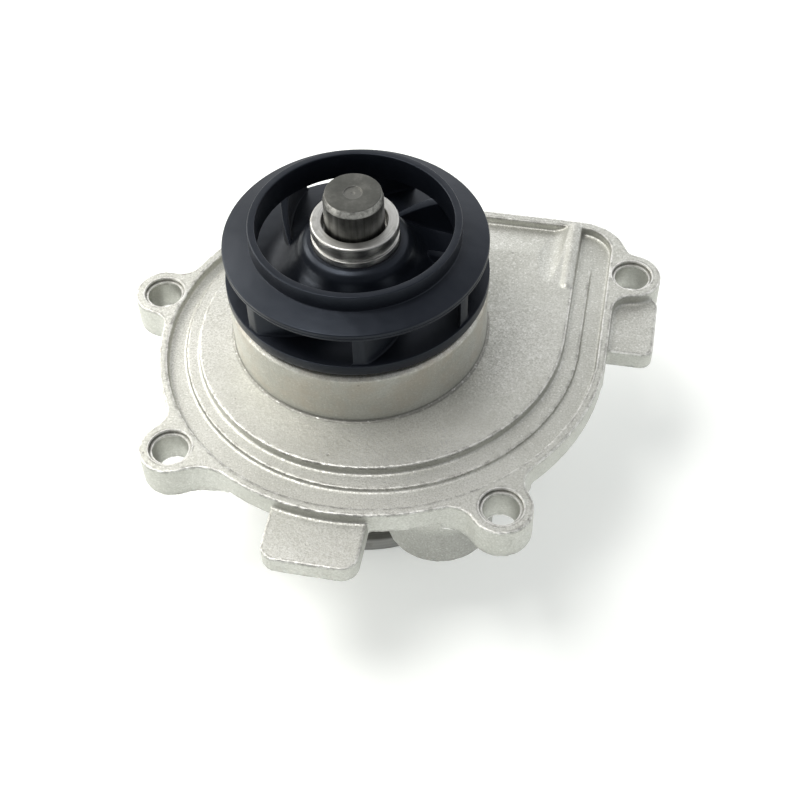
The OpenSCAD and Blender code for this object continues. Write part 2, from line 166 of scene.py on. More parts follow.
def carved(mesh, bm, name):
    """The mesh with the solids in bm cut out of it."""
    bmesh.ops.recalc_face_normals(bm, faces=bm.faces)
    cutter_mesh = bpy.data.meshes.new(name)
    bm.to_mesh(cutter_mesh)
    bm.free()
    cutter = bpy.data.objects.new(name, cutter_mesh)
    scene.collection.objects.link(cutter)
    out = modified(mesh, ("BOOLEAN", {"operation": "DIFFERENCE", "object": cutter, "solver": "EXACT"}))
    bpy.data.objects.remove(cutter)
    return out


# ---------------------------------------------------------------- material helpers

def material(name, **sockets):
    mat = bpy.data.materials.new(name)
    mat.use_nodes = True
    bsdf = mat.node_tree.nodes["Principled BSDF"]
    for key, value in sockets.items():
        bsdf.inputs[key.replace("_", " ")].default_value = value
    return mat, mat.node_tree, bsdf


def put(tree, kind, inputs=None, **props):
    """Adds a node. An input's value is a constant or another node's output."""
    node = tree.nodes.new("ShaderNode" + kind)
    for key, value in props.items():
        setattr(node, key, value)
    for key, value in (inputs or {}).items():
        if isinstance(value, bpy.types.NodeSocket):
            tree.links.new(value, node.inputs[key])
        else:
            node.inputs[key].default_value = value
    return node


def place(tree):
    """The point on the piece itself, so that a pattern turns with its body."""
    return put(tree, "TexCoord").outputs["Object"]


def noise_at(tree, where, scale, detail=3.0, rough=0.5):
    return put(tree, "TexNoise", {"Vector": where, "Scale": scale, "Detail": detail,
                                  "Roughness": rough}).outputs["Fac"]


def span(tree, value, low, high, to_low=0.0, to_high=1.0):
    """Maps low..high to to_low..to_high, clamped."""
    return put(tree, "MapRange", {"Value": value, "From Min": low, "From Max": high,
                                  "To Min": to_low, "To Max": to_high}).outputs["Result"]


def calc(tree, operation, a, b=0.0):
    return put(tree, "Math", {0: a, 1: b}, operation=operation).outputs[0]


def mix(tree, factor, a, b):
    """Colour a where the factor is 0 and colour b where it is 1."""
    node = put(tree, "Mix", {"Factor": factor}, data_type="RGBA")
    for socket, value in ((node.inputs[6], a), (node.inputs[7], b)):
        if isinstance(value, bpy.types.NodeSocket):
            tree.links.new(value, socket)
        else:
            socket.default_value = (*value, 1)
    return node.outputs[2]


def bump(tree, height, distance, strength=1.0, normal=None):
    inputs = {"Height": height, "Distance": distance, "Strength": strength}
    if normal is not None:
        inputs["Normal"] = normal
    return put(tree, "Bump", inputs).outputs["Normal"]


def polar(tree, where):
    """Distance from the shaft axis, angle round it and height of a point, in metres and radians."""
    xyz = put(tree, "SeparateXYZ", {0: where})
    flat = put(tree, "CombineXYZ", {"X": xyz.outputs["X"], "Y": xyz.outputs["Y"]}).outputs[0]
    radius = put(tree, "VectorMath", {0: flat}, operation="LENGTH").outputs["Value"]
    angle = calc(tree, "ARCTAN2", xyz.outputs["Y"], xyz.outputs["X"])
    return radius, angle, xyz.outputs["Z"]


def turned_marks(tree, where, fine, drift=0.0004):
    """Noise that runs in circles round the shaft axis, as a lathe or a grinding wheel leaves it."""
    radius, angle, height = polar(tree, where)
    vector = put(tree, "CombineXYZ", {"X": radius, "Y": calc(tree, "MULTIPLY", angle, drift),
                                      "Z": height}).outputs[0]
    return noise_at(tree, vector, fine, 2.0, 0.6)


# ---------------------------------------------------------------- materials

def cast_metal():
    """Die-cast aluminium: blasted grain with painted glints, stains, grime and painted shade in the
    corners, painted shade below the flange, and bright worn edges.
    """
    mat, tree, bsdf = material("cast_aluminium")
    where = place(tree)
    # Convex edges are thin seen from inside, and corners are closed in seen from outside
    thin = put(tree, "AmbientOcclusion", {"Distance": 0.75 * MM}, samples=8, inside=True,
               only_local=True).outputs["AO"]
    wear = span(tree, thin, 0.90, 0.62)
    # The boss's foot is sheltered from wear
    radius, _, height = polar(tree, where)
    foot = calc(tree, "MULTIPLY", span(tree, radius, 0.0300, 0.0297),
                span(tree, height, 0.0480, 0.0478))
    wear = calc(tree, "MULTIPLY", wear, span(tree, foot, 0.0, 1.0, 1.0, 0.3))
    shut = put(tree, "AmbientOcclusion", {"Distance": 0.8 * MM}, samples=8,
               only_local=True).outputs["AO"]
    # Grime and painted shade: corners darken by how closed in they are
    corner_dirt_and_shade = span(tree, shut, 0.80, 0.42)
    cloud = noise_at(tree, where, 55, 4, 0.6)
    blotch = noise_at(tree, where, 240, 4, 0.65)
    grain = noise_at(tree, where, 2700, 3, 0.75)
    facing = put(tree, "SeparateXYZ", {0: put(tree, "TexCoord").outputs["Normal"]}).outputs["Z"]
    sandy = span(tree, noise_at(tree, where, 28, 3, 0.6), 0.42, 0.60, 0.55, 1.0)
    # The walls are smoother than the faces seen from above
    level = span(tree, facing, 0.25, 0.85, 0.42, 1.0)
    sandy = calc(tree, "MULTIPLY", sandy, level)
    speck = put(tree, "TexVoronoi", {"Vector": where, "Scale": 3000.0}).outputs["Color"]
    speck = put(tree, "SeparateColor", {0: speck}).outputs[0]
    base = mix(tree, span(tree, cloud, 0.35, 0.65), (0.489, 0.495, 0.454), (0.587, 0.595, 0.552))
    base = mix(tree, span(tree, blotch, 0.40, 0.75, 0.0, 0.32), base, (0.405, 0.41, 0.366))
    shaded = mix(tree, calc(tree, "MULTIPLY", sandy, 0.34), base, (0.22, 0.21, 0.19))
    bright = mix(tree, calc(tree, "MULTIPLY", sandy, 0.48), base, (0.86, 0.86, 0.84))
    base = mix(tree, span(tree, grain, 0.38, 0.62), shaded, bright)
    # Warm handling stains round the boss's wall
    on_boss = calc(tree, "MULTIPLY", span(tree, radius, 0.0274, 0.0270),
                   span(tree, height, 0.0435, 0.0450))
    smears = span(tree, noise_at(tree, where, 130, 4, 0.65), 0.42, 0.64, 0.05, 0.55)
    stained = calc(tree, "MULTIPLY", on_boss, smears)
    base = mix(tree, stained, base, (0.52, 0.465, 0.385))
    # Painted shade: a dark line in the corner at the foot of the boss
    foot_high = MOUNTS["flange_face"]["pos_m"][2] + 1.6 * MM
    corner = calc(tree, "MULTIPLY", foot, span(tree, radius, 0.0276, 0.0273))
    corner = calc(tree, "MULTIPLY", corner, span(tree, height, foot_high, foot_high - 0.0004))
    base = mix(tree, calc(tree, "MULTIPLY", corner, 0.62), base, (0.10, 0.096, 0.084))
    # Painted shade: the casting grows darker below the flange, towards the floor
    base = mix(tree, span(tree, height, 0.036, 0.031, 0.0, 0.5), base, (0.16, 0.16, 0.15))
    # Painted glints: pale specks in the colour, fewer on the walls; the same specks are also given a
    # smoother finish
    glint_specks = calc(tree, "MULTIPLY", span(tree, speck, 0.86, 1.0), level)
    base = mix(tree, calc(tree, "MULTIPLY", glint_specks, 0.40), base, (0.92, 0.92, 0.90))
    # Dark pits in stained patches, then patchy grime and painted shade in the corners
    pits = put(tree, "TexVoronoi", {"Vector": where, "Scale": 420.0}).outputs["Distance"]
    pit = calc(tree, "MULTIPLY", span(tree, pits, 0.16, 0.06), span(tree, blotch, 0.56, 0.66))
    base = mix(tree, calc(tree, "MULTIPLY", pit, 0.55), base, (0.16, 0.15, 0.135))
    base = mix(tree, calc(tree, "MULTIPLY", corner_dirt_and_shade, span(tree, blotch, 0.3, 0.7, 0.55, 0.95)), base,
               (0.07, 0.066, 0.058))
    # A dark band beside the worn edges, part grime and part painted shade, broken up by noise
    edge_dirt_and_shade = calc(tree, "MULTIPLY", span(tree, thin, 0.985, 0.93), calc(tree, "SUBTRACT", 1.0, wear))
    stain = span(tree, noise_at(tree, where, 420, 4, 0.7), 0.42, 0.62, 0.05, 0.95)
    base = mix(tree, calc(tree, "MULTIPLY", edge_dirt_and_shade, stain), base, (0.13, 0.125, 0.11))
    # Worn, bright edges
    ragged = span(tree, noise_at(tree, where, 900, 4, 0.75), 0.40, 0.60)
    edge = calc(tree, "MULTIPLY", wear, calc(tree, "ADD", 0.32, ragged))
    edge = calc(tree, "MINIMUM", edge, 1.0)
    base = mix(tree, edge, base, (0.90, 0.90, 0.88))
    tree.links.new(base, bsdf.inputs["Base Color"])
    tree.links.new(span(tree, edge, 0.0, 1.0, 0.82, 0.35), bsdf.inputs["Metallic"])
    rough = span(tree, grain, 0.35, 0.65, 0.60, 0.40)
    rough = calc(tree, "SUBTRACT", rough, calc(tree, "MULTIPLY", edge, 0.16))
    rough = calc(tree, "SUBTRACT", rough, calc(tree, "MULTIPLY", glint_specks, 0.14))
    tree.links.new(rough, bsdf.inputs["Roughness"])
    # Blasted grain over a soft orange peel
    peel = noise_at(tree, where, 700, 3, 0.6)
    normal = bump(tree, peel, 0.00006, 0.6)
    normal = bump(tree, grain, 0.00004, 0.9, normal)
    normal = bump(tree, calc(tree, "SUBTRACT", 0.0, pit), 0.00006, 0.8, normal)
    tree.links.new(normal, bsdf.inputs["Normal"])
    return mat


def moulded_plastic():
    """Dark blue-black glass-filled plastic with a few pale flecks."""
    mat, tree, bsdf = material("impeller_plastic", Metallic=0.0, Specular_IOR_Level=0.38,
                               Specular_Tint=(0.72, 0.82, 1.0, 1))
    where = place(tree)
    cloud = noise_at(tree, where, 90, 4, 0.6)
    fine = noise_at(tree, where, 3800, 2, 0.6)
    base = mix(tree, span(tree, cloud, 0.35, 0.68), (0.0033, 0.0043, 0.0070), (0.0055, 0.0067, 0.0100))
    flecks = put(tree, "TexVoronoi", {"Vector": where, "Scale": 300.0})
    fleck = span(tree, flecks.outputs["Distance"], 0.085, 0.05)
    rare = span(tree, put(tree, "SeparateColor", {0: flecks.outputs["Color"]}).outputs[1], 0.985, 0.99)
    base = mix(tree, calc(tree, "MULTIPLY", fleck, rare), base, (0.45, 0.45, 0.44))
    tree.links.new(base, bsdf.inputs["Base Color"])
    smear = noise_at(tree, where, 260, 4, 0.7)
    tree.links.new(span(tree, smear, 0.3, 0.7, 0.33, 0.43), bsdf.inputs["Roughness"])
    normal = bump(tree, noise_at(tree, where, 120, 2), 0.00035, 0.5)
    normal = bump(tree, fine, 0.000016, 0.8, normal)
    tree.links.new(normal, bsdf.inputs["Normal"])
    return mat


def steel(name, dark, light, rough, fine=5200, depth=0.00001, stain=(0.12, 0.115, 0.10), stained=0.25):
    """Turned or ground steel with circular tool marks, and a little staining."""
    mat, tree, bsdf = material(name, Metallic=1.0)
    where = place(tree)
    marks = turned_marks(tree, where, fine)
    cloud = noise_at(tree, where, 330, 4, 0.65)
    base = mix(tree, span(tree, marks, 0.3, 0.7), dark, light)
    base = mix(tree, span(tree, cloud, 0.52, 0.74, 0.0, stained), base, stain)
    tree.links.new(base, bsdf.inputs["Base Color"])
    tree.links.new(span(tree, cloud, 0.3, 0.7, rough - 0.05, rough + 0.08), bsdf.inputs["Roughness"])
    normal = bump(tree, marks, depth, 0.9)
    normal = bump(tree, noise_at(tree, where, 900, 3, 0.6), 0.00002, 0.5, normal)
    tree.links.new(normal, bsdf.inputs["Normal"])
    return mat


def shaft_steel():
    """Ground steel: painted reflection bands along the side, matt on the end face, scuffed on the
    chamfer.
    """
    mat, tree, bsdf = material("shaft_steel", Metallic=1.0)
    where = place(tree)
    xyz = put(tree, "SeparateXYZ", {0: where})
    marks = turned_marks(tree, where, 6500)
    cloud = noise_at(tree, where, 260, 5, 0.7)
    radius = polar(tree, where)[0]
    top = calc(tree, "MULTIPLY", span(tree, xyz.outputs["Z"], 0.0794, 0.07945),
               span(tree, radius, 0.00562, 0.00558))
    base = mix(tree, span(tree, marks, 0.3, 0.7), (0.20, 0.20, 0.19), (0.26, 0.26, 0.25))
    base = mix(tree, span(tree, cloud, 0.42, 0.70, 0.0, 0.45), base, (0.11, 0.108, 0.098))
    # Painted reflection: dark bands running along the side, where a ground shaft shows its surroundings
    angle = calc(tree, "ARCTAN2", xyz.outputs["Y"], xyz.outputs["X"])
    along = put(tree, "CombineXYZ", {"X": calc(tree, "MULTIPLY", angle, 0.006),
                                     "Z": calc(tree, "MULTIPLY", xyz.outputs["Z"], 0.06)}).outputs[0]
    reflection_bands = noise_at(tree, along, 620, 3, 0.6)
    base = mix(tree, span(tree, reflection_bands, 0.38, 0.62, 0.0, 0.85), base, (0.085, 0.085, 0.08))
    face = mix(tree, span(tree, cloud, 0.35, 0.65), (0.085, 0.087, 0.080), (0.125, 0.126, 0.117))
    face = mix(tree, span(tree, radius, 0.0020, 0.0018, 0.0, 0.5), face, (0.20, 0.20, 0.188))
    base = mix(tree, top, base, face)
    chamfer = calc(tree, "MULTIPLY", span(tree, xyz.outputs["Z"], 0.0783, 0.0785),
                   calc(tree, "SUBTRACT", 1.0, top))
    scuffs = span(tree, noise_at(tree, where, 1100, 4, 0.7), 0.38, 0.64)
    base = mix(tree, calc(tree, "MULTIPLY", chamfer, 0.85), base,
               mix(tree, scuffs, (0.20, 0.198, 0.188), (0.44, 0.436, 0.415)))
    rubbed = calc(tree, "MULTIPLY", scuffs, span(tree, cloud, 0.5, 0.7, 0.0, 0.5))
    base = mix(tree, calc(tree, "MULTIPLY", top, rubbed), base, (0.22, 0.22, 0.206))
    tree.links.new(base, bsdf.inputs["Base Color"])
    rough = mix(tree, top, (0.36, 0.36, 0.36), (0.50, 0.50, 0.50))
    rough = calc(tree, "ADD", rough, span(tree, cloud, 0.3, 0.7, -0.05, 0.07))
    tree.links.new(rough, bsdf.inputs["Roughness"])
    normal = bump(tree, marks, 0.000008, 0.9)
    normal = bump(tree, noise_at(tree, where, 700, 3, 0.6), 0.000012, 0.4, normal)
    tree.links.new(normal, bsdf.inputs["Normal"])
    return mat


def plain(name, dark, light, metal, rough, grain=1800, depth=0.00002):
    """A general finish: two tones, a fine grain and uneven gloss."""
    mat, tree, bsdf = material(name, Metallic=metal)
    where = place(tree)
    cloud = noise_at(tree, where, 200, 4, 0.6)
    fine = noise_at(tree, where, grain, 3, 0.6)
    tree.links.new(mix(tree, span(tree, cloud, 0.3, 0.7), dark, light), bsdf.inputs["Base Color"])
    tree.links.new(span(tree, fine, 0.3, 0.7, rough - 0.07, rough + 0.08), bsdf.inputs["Roughness"])
    tree.links.new(bump(tree, fine, depth, 0.8), bsdf.inputs["Normal"])
    return mat


FINISH = {
    "cast_aluminium": cast_metal(),
    "impeller_plastic": moulded_plastic(),
    "shaft_steel": shaft_steel(),
    "turned_steel": steel("turned_steel", (0.43, 0.43, 0.415), (0.58, 0.58, 0.56), 0.38, 4200, 0.000008,
                          (0.10, 0.098, 0.085), 0.5),
    "hub_steel": steel("hub_steel", (0.27, 0.27, 0.26), (0.37, 0.368, 0.355), 0.50, 2600, 0.000014),
    "bearing_steel": steel("bearing_steel", (0.52, 0.52, 0.52), (0.64, 0.64, 0.64), 0.18, 7000,
                           0.000005),
    "stainless_sheet": steel("stainless_sheet", (0.52, 0.52, 0.51), (0.62, 0.62, 0.61), 0.24, 3000,
                             0.00001),
    "seal_rubber": plain("seal_rubber", (0.012, 0.012, 0.012), (0.022, 0.022, 0.021), 0.0, 0.62),
    "carbon": plain("carbon", (0.03, 0.03, 0.032), (0.045, 0.045, 0.047), 0.0, 0.34, 2600, 0.00001),
    "ceramic": plain("ceramic", (0.74, 0.72, 0.64), (0.82, 0.80, 0.73), 0.0, 0.22, 2600, 0.000006),
    "cage_polymer": plain("cage_polymer", (0.38, 0.22, 0.07), (0.48, 0.29, 0.10), 0.0, 0.45),
}


# ---------------------------------------------------------------- the casting

BOLT_HOLES = [mount for name, mount in MOUNTS.items() if name.startswith("bolt_hole")]
FLANGE_Z = MOUNTS["flange_face"]["pos_m"][2] / MM
EAR_LOW = FLANGE_Z - 8
PLATE_LOW = FLANGE_Z - 5.6
# The counterbores round the bolt holes, and the plugs that fill them before drilling
COUNTERBORE_R = 4.3
COUNTERBORE_LOW = FLANGE_Z - 0.8
PLUG_R = 4.9
# Triangles the casting is decimated to; the drilled edges add some more. A piece may
# have 200,000 triangles; the drilled edges need some of them
CAST_TRIANGLES = 186000


def at_bolt_holes(bm, outline):
    """Turns an outline round the axis of each bolt hole."""
    for mount in BOLT_HOLES:
        made = len(bm.verts)
        lathe_into(bm, outline, 96)
        bm.verts.ensure_lookup_table()
        for v in bm.verts[made:]:
            v.co += Vector((mount["pos_m"][0], mount["pos_m"][1], 0))


def joined_nodes(names):
    """The nodes as one mesh, with the bolt holes plugged until they are drilled again."""
    bm = bmesh.new()
    for name in names:
        bm.from_mesh(nodes[name].data)
    at_bolt_holes(bm, [(0, EAR_LOW), (PLUG_R, EAR_LOW), (PLUG_R, FLANGE_Z), (0, FLANGE_Z)])
    mesh = bpy.data.meshes.new("joined")
    bm.to_mesh(mesh)
    bm.free()
    return mesh


def arrays(mesh):
    """Vertex places and edge ends."""
    co = np.empty(len(mesh.vertices) * 3)
    mesh.vertices.foreach_get("co", co)
    edges = np.empty(len(mesh.edges) * 2, np.int64)
    mesh.edges.foreach_get("vertices", edges)
    return co.reshape(-1, 3), edges.reshape(-1, 2)


def neighbour_mean(values, edges, count):
    """Each vertex's mean over the vertices it shares an edge with."""
    total = np.zeros_like(values)
    for k in range(values.shape[1]):
        total[:, k] = (np.bincount(edges[:, 0], values[edges[:, 1], k], len(values))
                       + np.bincount(edges[:, 1], values[edges[:, 0], k], len(values)))
    return total / count[:, None]


def edge_counts(co, edges):
    return np.maximum(np.bincount(edges.ravel(), minlength=len(co)), 1).astype(float)


def smoothed(co, edges, rounds):
    count = edge_counts(co, edges)
    for _ in range(rounds):
        co = co + 0.5 * (neighbour_mean(co, edges, count) - co)
    return co


def vertex_normals(mesh):
    out = np.empty(len(mesh.vertices) * 3)
    mesh.vertex_normals.foreach_get("vector", out)
    return out.reshape(-1, 3)


def tapered_webs(co):
    """Thins each bolt ear's web from the ear's own depth to the flange plate's."""
    ear_r, web_length, reach = 8.0, 8.0, 21.0
    for name, hole in MOUNTS.items():
        # A tab lies under the right ear's web, so that one keeps its depth
        if not name.startswith("bolt_hole") or name == "bolt_hole_right":
            continue
        away = np.hypot(co[:, 0] - hole["pos_m"][0], co[:, 1] - hole["pos_m"][1]) / MM
        along = np.clip((away - ear_r) / web_length, 0, 1)
        low = (EAR_LOW + (PLATE_LOW - EAR_LOW) * along * along * (3 - 2 * along)) * MM
        held = (away > ear_r) & (away < reach) & (co[:, 2] > (EAR_LOW - 0.5) * MM)
        co[:, 2] = np.where(held, np.maximum(co[:, 2], low), co[:, 2])
    return co


def casting():
    """One cast piece from the five CAD nodes, with rounded, worn and slightly uneven edges."""
    voxel = 0.25 * MM
    mesh = modified(joined_nodes(["flange", "boss", "snout", "ribs", "leak_chamber"]),
                    ("REMESH", {"mode": "VOXEL", "voxel_size": voxel, "adaptivity": 0.0}))
    co, edges = arrays(mesh)
    co = smoothed(co, edges, 3)
    mesh.vertices.foreach_set("co", co.ravel())
    mesh.update()
    normals = vertex_normals(mesh)
    # Convex edges are where a wider smoothing pulls the surface inwards
    pull = np.einsum("ij,ij->i", co - smoothed(co, edges, 10), normals) / MM
    pull = neighbour_mean(pull[:, None], edges, edge_counts(co, edges))[:, 0]
    wear = np.clip(pull / 0.10, 0, 1)
    # Nicks along the edges, and the gentle waviness of a casting
    push = np.zeros(len(co))
    for i in np.nonzero(wear > 0.15)[0]:
        here = co[i] / MM
        push[i] = -wear[i] * 0.11 * max(0.0, noise.noise(Vector(here * 0.9)) * 0.6
                                        + noise.noise(Vector(here * 2.1)) + 0.05)
    co = tapered_webs(co + normals * (push * MM)[:, None])
    mesh.vertices.foreach_set("co", co.ravel())
    limit = CAST_TRIANGLES / (2 * len(mesh.polygons))
    mesh = modified(mesh, ("DECIMATE", {"ratio": min(1.0, limit)}))
    return drilled(mesh)


def drilled(mesh):
    """Cuts the bolt holes and their counterbores, with crisp machined edges."""
    r = BOLT_HOLES[0]["dims"]["r_mm"]
    bm = bmesh.new()
    mouth_r = COUNTERBORE_R + 0.2
    at_bolt_holes(bm, [(0, EAR_LOW - 1), (r, EAR_LOW - 1), (r, COUNTERBORE_LOW - 0.15),
                       (r + 0.1, COUNTERBORE_LOW), (COUNTERBORE_R, COUNTERBORE_LOW),
                       (COUNTERBORE_R, FLANGE_Z - 0.14), (mouth_r, FLANGE_Z + 0.06),
                       (mouth_r, FLANGE_Z + 2), (0, FLANGE_Z + 2)])
    mesh = carved(mesh, bm, "drill")
    mesh.name = "casting"
    return modified(shade(mesh, 35), ("WEIGHTED_NORMAL", {"keep_sharp": True}))


body_casting = new_piece("casting", casting(), "housing_body", "cast_aluminium",
                         "flange", "boss", "snout", "ribs", "leak_chamber")


# ---------------------------------------------------------------- the impeller

LOW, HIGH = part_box("impeller_body")
BACK_Z = LOW.z / MM
BACK_R = HIGH.x / MM
HUB_TOP = HIGH.z / MM
SHROUD_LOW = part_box("impeller_shroud")[0].z / MM
COLLAR_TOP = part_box("impeller_shroud")[1].z / MM
IMP_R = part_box("impeller_shroud")[1].x / MM
BACK_TOP = BACK_Z + 2.4
HUB_LINE = [(18, BACK_TOP), (14.8, 61.6), (12.4, 64.6), (11.6, 66.6)]

back_plate = lathe("impeller_disc", rounded([
    (BACK_R, BACK_Z, 0.3), (BACK_R, BACK_TOP, 0.15), (18, BACK_TOP, 6), (14.8, 61.6, 9),
    (12.4, 64.6, 5), (11.6, 66.6, 3), (10.6, 67.8, 1.6), (9.7, HUB_TOP, 0.8), (8.9, HUB_TOP, 0.2),
    (8.9, 65), (9.98, 65), (9.98, 63), (8.9, 63), (8.9, 61.3), (13.3, 61.3, 0.8),
    (13.3, BACK_Z, 0.4)]), 224)
disc = new_piece("impeller_disc", back_plate, "rotor", "impeller_plastic", "impeller_body")


def line_at(points, r):
    """Height of a falling line of (r, z) points at radius r."""
    for (r1, z1), (r2, z2) in zip(points, points[1:]):
        if r2 <= r <= r1:
            return z1 + (z2 - z1) * (r - r1) / (r2 - r1)
    return points[0][1] if r > points[0][0] else points[-1][1]


# A vane's middle line is an arc of VANE_ARC_R about VANE_CENTRE; its free inner end starts at VANE_IN_R
VANES = 7
VANE_TURN = math.radians(-78.8)
VANE_CENTRE = Vector((7.5, -13.3))
VANE_ARC_R = 23.6
VANE_IN_R = 13.9


def vane_into(bm, turn):
    """One vane. Its sections lie at constant radius, so that its outer end follows the rim."""
    reach, bearing = VANE_CENTRE.length, math.atan2(VANE_CENTRE.y, VANE_CENTRE.x)
    r_out = IMP_R - 0.25
    radii = [VANE_IN_R + 0.2 * k for k in range(5)]
    radii += [15.0 + (r_out - 0.9 - 15.0) * k / 26 for k in range(27)]
    radii += [r_out - 0.55, r_out - 0.3, r_out - 0.12, r_out - 0.03, r_out]
    rings = []
    for r in radii:
        sides = []
        half_thick = 0.42 + 0.33 * min(1.0, max(0.0, (r - VANE_IN_R) / 6))
        for arc_r in (VANE_ARC_R + half_thick, VANE_ARC_R - half_thick):
            turn_in = math.acos((r * r + reach * reach - arc_r * arc_r) / (2 * r * reach))
            sides.append(bearing + turn_in)
        middle, width = sum(sides) / 2, (sides[0] - sides[1]) / 2
        inset = max(0.0, r - (r_out - 0.3)) / 0.3
        width -= (1 - math.sqrt(max(0.0, 1 - inset * inset))) * 0.3 / r
        low = line_at(HUB_LINE, r) - 0.25
        high = min(SHROUD_LOW + 0.25, 62.1 + (r - 14.4) * 0.885)
        high = max(high, low + 0.3)
        flare = 0.5 / r
        free = high < SHROUD_LOW
        lip = min(0.22, (high - low) / 3)
        section = [(-1, low, flare), (-1, low + 0.3, flare * 0.75), (-1, low + 0.55, flare * 0.25),
                   (-1, low + 0.95, 0), (-1, high - lip, 0)]
        if free:
            section += [(-1, high - lip * 0.35, -0.06 / r), (-1, high, -0.18 / r)]
        else:
            section += [(-1, high - lip * 0.5, 0), (-1, high, 0)]
        section = [(side, min(z, high), f) for side, z, f in section]
        section += [(-side, z, f) for side, z, f in reversed(section)]
        ring = []
        for side, z, f in section:
            angle = middle + side * (width + f) + turn
            ring.append(bm.verts.new((r * MM * math.cos(angle), r * MM * math.sin(angle), z * MM)))
        rings.append(ring)
    skin(bm, rings)


bm = bmesh.new()
for i in range(VANES):
    vane_into(bm, VANE_TURN + i * 2 * math.pi / VANES)
vanes = new_piece("impeller_blades", finish_mesh(bm, "impeller_blades", 40), "rotor",
                  "impeller_plastic", "impeller_vanes")

shroud = new_piece("impeller_front", lathe("impeller_front", rounded([
    (19.8, SHROUD_LOW, 0.12), (IMP_R, SHROUD_LOW, 0.12), (IMP_R, SHROUD_LOW + 0.55, 0.04),
    (IMP_R - 0.09, SHROUD_LOW + 0.62, 0.03), (IMP_R - 0.09, SHROUD_LOW + 0.74, 0.03),
    (IMP_R, SHROUD_LOW + 0.8, 0.04),
    (IMP_R, SHROUD_LOW + 1.5, 0.3), (21.42, SHROUD_LOW + 2.4, 0.05), (21.3, SHROUD_LOW + 2.56, 0.05),
    (21.3, COLLAR_TOP, 0.22), (19.8, COLLAR_TOP, 0.22)]), 256),
    "rotor", "impeller_plastic", "impeller_shroud")


# ---------------------------------------------------------------- shaft, ring and hub

RING_LOW, RING_HIGH = (corner.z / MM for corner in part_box("impeller_insert"))
ring = new_piece("hub_ring", lathe("hub_ring", rounded([
    (8.87, RING_LOW, 0.3), (8.87, 63), (9.97, 63, 0.2), (9.97, 65, 0.2), (8.87, 65),
    (8.87, 69.5, 0.14), (8.35, 69.62, 0.2), (8.32, 70.75, 0.2), (8.87, 70.9, 0.14),
    (8.87, RING_HIGH, 0.45), (6.62, RING_HIGH, 0.25), (6.62, RING_HIGH - 3, 0.1),
    (6.03, RING_HIGH - 3, 0.1), (6.03, RING_LOW, 0.3)], 6), 224),
    "rotor", "turned_steel", "impeller_insert")

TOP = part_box("shaft")[1].z / MM
JOURNAL_TOP = 44
# The balls' groove in the journal, an arc centred on the ball circle
GROOVE = [(10 - 2.68 * math.cos(t), 35.5 + 2.68 * math.sin(t))
          for t in (math.radians(-40 + 8 * k) for k in range(11))]
shaft_outline = rounded([
    (0, 1), (7.95, 1, 0.5), (7.95, 33.7)] + GROOVE + [(7.95, 37.3), (7.95, JOURNAL_TOP, 0.3),
    (6, JOURNAL_TOP, 0.1), (6, TOP - 1.5, 0.2), (5.6, TOP, 0.15), (1.8, TOP, 0.12),
    (1.7, TOP - 0.22, 0.1), (0.5, TOP - 0.22, 0.1), (0.3, TOP - 0.3), (0, TOP - 0.3)])
shaft = new_piece("pump_shaft", lathe("pump_shaft", shaft_outline, 192), "rotor", "shaft_steel",
                  "shaft")

HUB_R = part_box("pulley_hub")[1].x / MM
HOLES_R = MOUNTS["pulley_bolts"]["dims"]["pcd_mm"] / 2
HUB_HOLES = [(HOLES_R * math.cos(t), HOLES_R * math.sin(t))
             for t in (math.radians(90 + 120 * i) for i in range(3))]
THREAD_R = 2.98


def hub_mesh():
    """The pulley hub: a turned disc and sleeve, with three chamfered M6 threads."""
    disc_mesh = lathe("pulley_disc", rounded([
        (7.97, 0.0, 0.4), (HUB_R, 0.0, 0.5), (HUB_R, 4, 0.5), (11.6, 4, 0.5), (10.4, 5.2, 0.5),
        (10.4, 11, 0.5), (7.97, 11, 0.4)]), 192)
    bm = bmesh.new()
    for x, y in HUB_HOLES:
        made = len(bm.verts)
        lathe_into(bm, [(0, -1), (3.6, -1), (3.6, 0.0), (THREAD_R, 0.62), (THREAD_R, 3.38),
                        (3.6, 4.0), (3.6, 5), (0, 5)], 48)
        bm.verts.ensure_lookup_table()
        for v in bm.verts[made:]:
            v.co += Vector((x * MM, y * MM, 0))
    out = carved(disc_mesh, bm, "thread_drill")
    bm = bmesh.new()
    bm.from_mesh(out)
    for x, y in HUB_HOLES:
        thread_into(bm, x, y)
    bmesh.ops.recalc_face_normals(bm, faces=bm.faces)
    bm.to_mesh(out)
    bm.free()
    return shade(out)


def thread_into(bm, x, y):
    """The crest of an internal thread: a thin helix against the hole's wall."""
    steps, pitch, low, turns = 36, 0.8, 0.45, 3.9
    rings = []
    for k in range(int(steps * turns) + 1):
        t = 2 * math.pi * k / steps
        z = low + pitch * k / steps - 0.02
        fade = min(1.0, k / 12, (steps * turns - k) / 12)
        ring = []
        crest_r = THREAD_R - 0.46 * fade
        for r, dz in ((3.02, -0.36), (crest_r, -0.06), (crest_r, 0.06), (3.02, 0.36)):
            ring.append(bm.verts.new(((x + r * math.cos(t)) * MM, (y + r * math.sin(t)) * MM,
                                      max(0.02, min(3.98, z + dz)) * MM)))
        rings.append(ring)
    skin(bm, rings)


hub = new_piece("pulley_disc", hub_mesh(), "rotor", "hub_steel", "pulley_hub")


# ---------------------------------------------------------------- seal spring and leak cover

